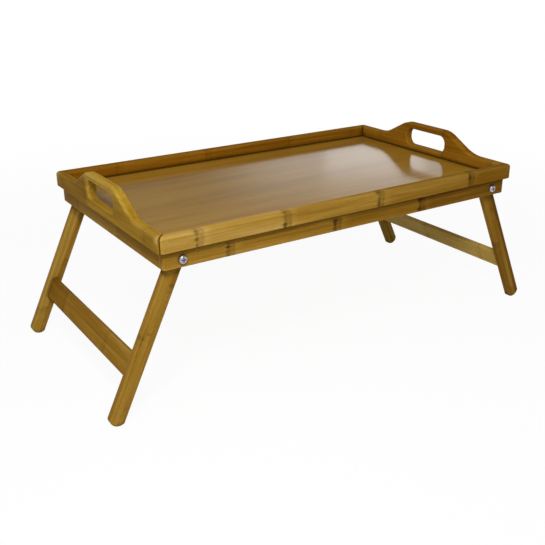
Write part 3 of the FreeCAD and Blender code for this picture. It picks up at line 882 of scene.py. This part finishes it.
# %% Picking
def pick_faces(thing, wanted):
    """In edit mode, selects the faces whose normal and middle are wanted."""
    bpy.ops.mesh.select_mode(type="FACE")
    bpy.ops.mesh.select_all(action="DESELECT")
    shape = bmesh.from_edit_mesh(thing.data)
    for face in shape.faces:
        if wanted(face.normal, face.calc_center_median()):
            face.select_set(True)
    bmesh.update_edit_mesh(thing.data)


def pick_edges(thing, wanted):
    """In edit mode, selects the edges whose two ends are wanted."""
    bpy.ops.mesh.select_mode(type="EDGE")
    bpy.ops.mesh.select_all(action="DESELECT")
    shape = bmesh.from_edit_mesh(thing.data)
    for edge in shape.edges:
        if wanted(edge.verts[0].co, edge.verts[1].co):
            edge.select_set(True)
    bmesh.update_edit_mesh(thing.data)


print("faces are picked by normal and middle, edges by their two ends")


# %% [markdown]
# ## Placing a finished piece
# A piece of the frame sits at the origin, with its place in its mesh, and a new piece has to do the
# same, or its pattern would slide. What repeats is modelled once, and each copy gets a mesh of its own,
# so that it can be set down by itself.

# %% Placing
def set_down(thing):
    """Puts a piece's place, turn and scale into its mesh, so that its object sits at the origin."""
    bpy.ops.object.select_all(action="DESELECT")
    thing.select_set(True)
    bpy.context.view_layer.objects.active = thing
    bpy.ops.object.transform_apply(location=True, rotation=True, scale=True)


def copy_to(pattern, name, place, turn_about_z=0.0):
    """A copy of a finished piece, with a mesh of its own, at another place."""
    thing = pattern.copy()
    thing.data = pattern.data.copy()
    thing.name = name
    thing.location = place
    thing.rotation_euler = (0.0, 0.0, turn_about_z)
    bpy.context.scene.collection.objects.link(thing)
    set_down(thing)
    return thing


print("pieces are set down at the origin")

# %% [markdown]
# ## Glue in the mitres
# At each corner of the rim two boards meet at 45 degrees, with a loose tongue across the joint. The
# joint is 0.3 mm wide and full of glue, which lacquer and dirt have turned dark. Painted on the wood
# alone it would stay a gap that light shines through, so a thin slab of glue fills it: a box with a hole
# for the tongue and round upper corners.

# %% Sizes of a slab
slab_inner = -8.3 * millimetre
slab_outer = 5.85 * millimetre
slab_low = rim_low + 2.3 * millimetre
slab_high = rim_high - 0.15 * millimetre
slab_thickness = 0.296 * millimetre
slab_length = slab_outer - slab_inner
slab_height = slab_high - slab_low
slab_middle = Vector(((slab_inner + slab_outer) / 2, 0.0, (slab_low + slab_high) / 2))
tongue_room = (3.3 * millimetre, 9.3 * millimetre)
tongue_height = (rim_low + rim_high) / 2
upper_round = 4.0 * millimetre
print("slab", round(slab_length * 1000, 2), "by", round(slab_height * 1000, 2), "mm")

# %% One slab of glue
margin = 1.5 * millimetre
small = 0.1 * millimetre
bpy.ops.object.select_all(action="DESELECT")
slab_size = (slab_length, slab_thickness, slab_height)
bpy.ops.mesh.primitive_cube_add(size=1.0, location=slab_middle, scale=slab_size)
glue = bpy.context.active_object
set_down(glue)
bpy.ops.object.mode_set(mode="EDIT")
pick_faces(glue, lambda normal, middle: abs(normal.y) > 0.9)
bpy.ops.mesh.inset(thickness=margin, use_individual=True)
narrower = tongue_room[0] / (slab_length - 2 * margin)
lower = tongue_room[1] / (slab_height - 2 * margin)
bpy.ops.transform.resize(value=(narrower, 1.0, lower), center_override=slab_middle)
bpy.ops.transform.translate(value=(-slab_middle.x, 0.0, tongue_height - slab_middle.z))
bpy.ops.mesh.bridge_edge_loops()
pick_edges(glue, lambda one, other: min(one.z, other.z) > slab_high - small
           and abs(one.x - other.x) < small)
bpy.ops.mesh.bevel(offset=upper_round, segments=6, affect="EDGES")
bpy.ops.object.mode_set(mode="OBJECT")
print("one slab of glue:", len(glue.data.polygons), "faces")

# %% A slab in each corner
glue.data.materials.append(old_glue)
rim_middle_x = rim_outer_x - rim_thickness / 2
rim_middle_y = rim_outer_y - rim_thickness / 2
for side_x, side_name in ((-1, "left"), (1, "right")):
    for side_y, depth_name in ((-1, "front"), (1, "rear")):
        corner = (side_x * rim_middle_x, side_y * rim_middle_y, 0.0)
        slab = copy_to(glue, f"{depth_name}_{side_name}_mitre_glue", corner, math.atan2(side_y, side_x))
        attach(slab, "tray")
bpy.data.objects.remove(glue)
print("four mitres glued at", round(rim_middle_x, 4), round(rim_middle_y, 4))

# %% [markdown]
# ## The screws under the aprons
# Ten wood screws come up through the aprons. Turn the tray over and their countersunk heads with a cross
# recess show. The frame's screws have flat heads, so they are modelled again at the same size: a short
# cylinder becomes the cone of the head, and two extrusions make the shank and the point.

# %% One screw
head_radius = 2.8 * millimetre
shank_radius = 1.4 * millimetre
head_depth = head_radius - shank_radius
point_length = 2.8 * millimetre
screw_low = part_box("apron_screws")[0][2]
screw_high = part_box("apron_screws")[1][2]
bpy.ops.object.select_all(action="DESELECT")
bpy.ops.mesh.primitive_cylinder_add(vertices=28, radius=head_radius, depth=head_depth,
                                    location=(0, 0, screw_low + head_depth / 2))
screw = bpy.context.active_object
set_down(screw)
bpy.ops.object.mode_set(mode="EDIT")
pick_faces(screw, lambda normal, middle: normal.z > 0.9)
shank_share = shank_radius / head_radius
head_top = (0, 0, screw_low + head_depth)
bpy.ops.transform.resize(value=(shank_share, shank_share, 1.0), center_override=head_top)
shank_length = screw_high - point_length - screw_low - head_depth
bpy.ops.mesh.extrude_region_move(TRANSFORM_OT_translate={"value": (0, 0, shank_length)})
bpy.ops.mesh.extrude_region_move(TRANSFORM_OT_translate={"value": (0, 0, point_length)})
bpy.ops.transform.resize(value=(0.25, 0.25, 1.0), center_override=(0, 0, screw_high))
pick_edges(screw, lambda one, other: max(one.z, other.z) < screw_low + small)
bpy.ops.mesh.bevel(offset=0.12 * millimetre, segments=2, affect="EDGES")
bpy.ops.object.mode_set(mode="OBJECT")
print("screw from", round(screw_low, 4), "to", round(screw_high, 4), "high")

# %% [markdown]
# ## The cross recess
# A punch with four arms sinks the recess into a real head. Here a cutter does: a small cube whose four
# sides are pulled out to arms, and whose top is drawn in a little, because a punch is tapered. A boolean
# takes it away from the head.

# %% Cut the recess
arm_width = 0.75 * millimetre
arm_reach = 0.95 * millimetre
recess_depth = 0.95 * millimetre
arm_directions = (Vector((1, 0, 0)), Vector((-1, 0, 0)), Vector((0, 1, 0)), Vector((0, -1, 0)))
bpy.ops.object.select_all(action="DESELECT")
cross_size = (arm_width, arm_width, 2 * recess_depth)
bpy.ops.mesh.primitive_cube_add(size=1.0, location=(0, 0, screw_low), scale=cross_size)
cross = bpy.context.active_object
set_down(cross)
bpy.ops.object.mode_set(mode="EDIT")
for arm_direction in arm_directions:
    pick_faces(cross, lambda normal, middle: normal.dot(arm_direction) > 0.9
               and middle.dot(arm_direction) > arm_width * 0.4)
    bpy.ops.mesh.extrude_region_move(TRANSFORM_OT_translate={"value": arm_direction * arm_reach})
pick_faces(cross, lambda normal, middle: normal.z > 0.9)
bpy.ops.transform.resize(value=(0.55, 0.55, 1.0), center_override=(0, 0, screw_low + recess_depth))
bpy.ops.object.mode_set(mode="OBJECT")
recess = screw.modifiers.new("recess", "BOOLEAN")
recess.object = cross
recess.operation = "DIFFERENCE"
recess.solver = "EXACT"
bpy.ops.object.select_all(action="DESELECT")
bpy.context.view_layer.objects.active = screw
bpy.ops.object.modifier_apply(modifier="recess")
bpy.data.objects.remove(cross)
print("one screw:", len(screw.data.polygons), "faces, recess", round(recess_depth * 1000, 2), "mm deep")

# %% [markdown]
# ## Ten screws in place
# Three screws hold each long apron and two each short one, in the middle of the board's thickness. A
# screw driven by hand stops where it bites, so each is turned a little further than the last.

# %% Ten screws in place
screw.data.materials.clear()
screw.data.materials.append(dull_zinc)
apron_half = 3.75 * millimetre
long_line_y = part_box("front_apron")[0][1] + apron_half
short_line_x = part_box("right_apron")[1][0] - apron_half
screw_places = [(x, side * long_line_y) for side in (-1, 1) for x in (-0.15, 0.0, 0.15)]
screw_places += [(side * short_line_x, y) for side in (-1, 1) for y in (-0.07, 0.07)]
for number, (x, y) in enumerate(screw_places, start=1):
    turned_screw = copy_to(screw, f"apron_screw_{number}", (x, y, 0.0), 0.7 * number)
    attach(turned_screw, "tray")
    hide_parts("apron_screws")
bpy.data.objects.remove(screw)
print("screws:", len(screw_places))

# %% [markdown]
# ## The nylon in the lock nuts
# A lock nut grips its bolt with a nylon ring, which shows round the end of the bolt. The ring is a short
# cylinder with a hole made by two insets and a bridge, and its edges are slightly round from being
# pressed in.

# %% One nylon ring
ring_height = 0.35 * millimetre
ring_radius = 3.2 * millimetre
ring_wall = 0.62 * millimetre
bpy.ops.object.select_all(action="DESELECT")
bpy.ops.mesh.primitive_cylinder_add(vertices=32, radius=ring_radius, depth=ring_height,
                                    rotation=(math.pi / 2, 0, 0))
ring = bpy.context.active_object
set_down(ring)
bpy.ops.object.mode_set(mode="EDIT")
pick_faces(ring, lambda normal, middle: abs(normal.y) > 0.9)
bpy.ops.mesh.inset(thickness=ring_wall, use_individual=True)
bpy.ops.mesh.bridge_edge_loops()
pick_edges(ring, lambda one, other: abs(one.y - other.y) < 0.01 * millimetre
           and abs(one.xz.length - other.xz.length) < 0.05 * millimetre)
bpy.ops.mesh.bevel(offset=0.08 * millimetre, segments=2, affect="EDGES")
bpy.ops.object.mode_set(mode="OBJECT")
print("one ring:", len(ring.data.polygons), "faces")

# %% [markdown]
# ## A ring at each pivot
# On the inside of each leg come a gap, a washer, the nut and its collar. Their thicknesses are added up
# from the leg's inner face to find the end of the collar, where the ring sits. Each joint of the frame
# says where its two bolts are.

# %% A ring at each pivot
ring.data.materials.append(nylon)
stack = {"gap": 0.15, "washer": 1.2, "nut": 4.0, "collar": 1.2}
leg_inner_y = -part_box("front_left_leg")[1][1]
collar_end_y = leg_inner_y - sum(stack.values()) * millimetre
ring_y = collar_end_y - ring_height / 2
for joint in frame["record"]["behaviour"]["joints"]:
    pivot_x, _, pivot_z = joint["pos_m"]
    side_name = joint["name"].split("_")[0]
    for side_y, depth_name in ((-1, "front"), (1, "rear")):
        ring_name = f"{depth_name}_{side_name}_nylon_ring"
        nylon_ring = copy_to(ring, ring_name, (pivot_x, side_y * ring_y, pivot_z))
        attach(nylon_ring, "tray")
bpy.data.objects.remove(ring)
print("nylon rings at y", round(ring_y, 4))
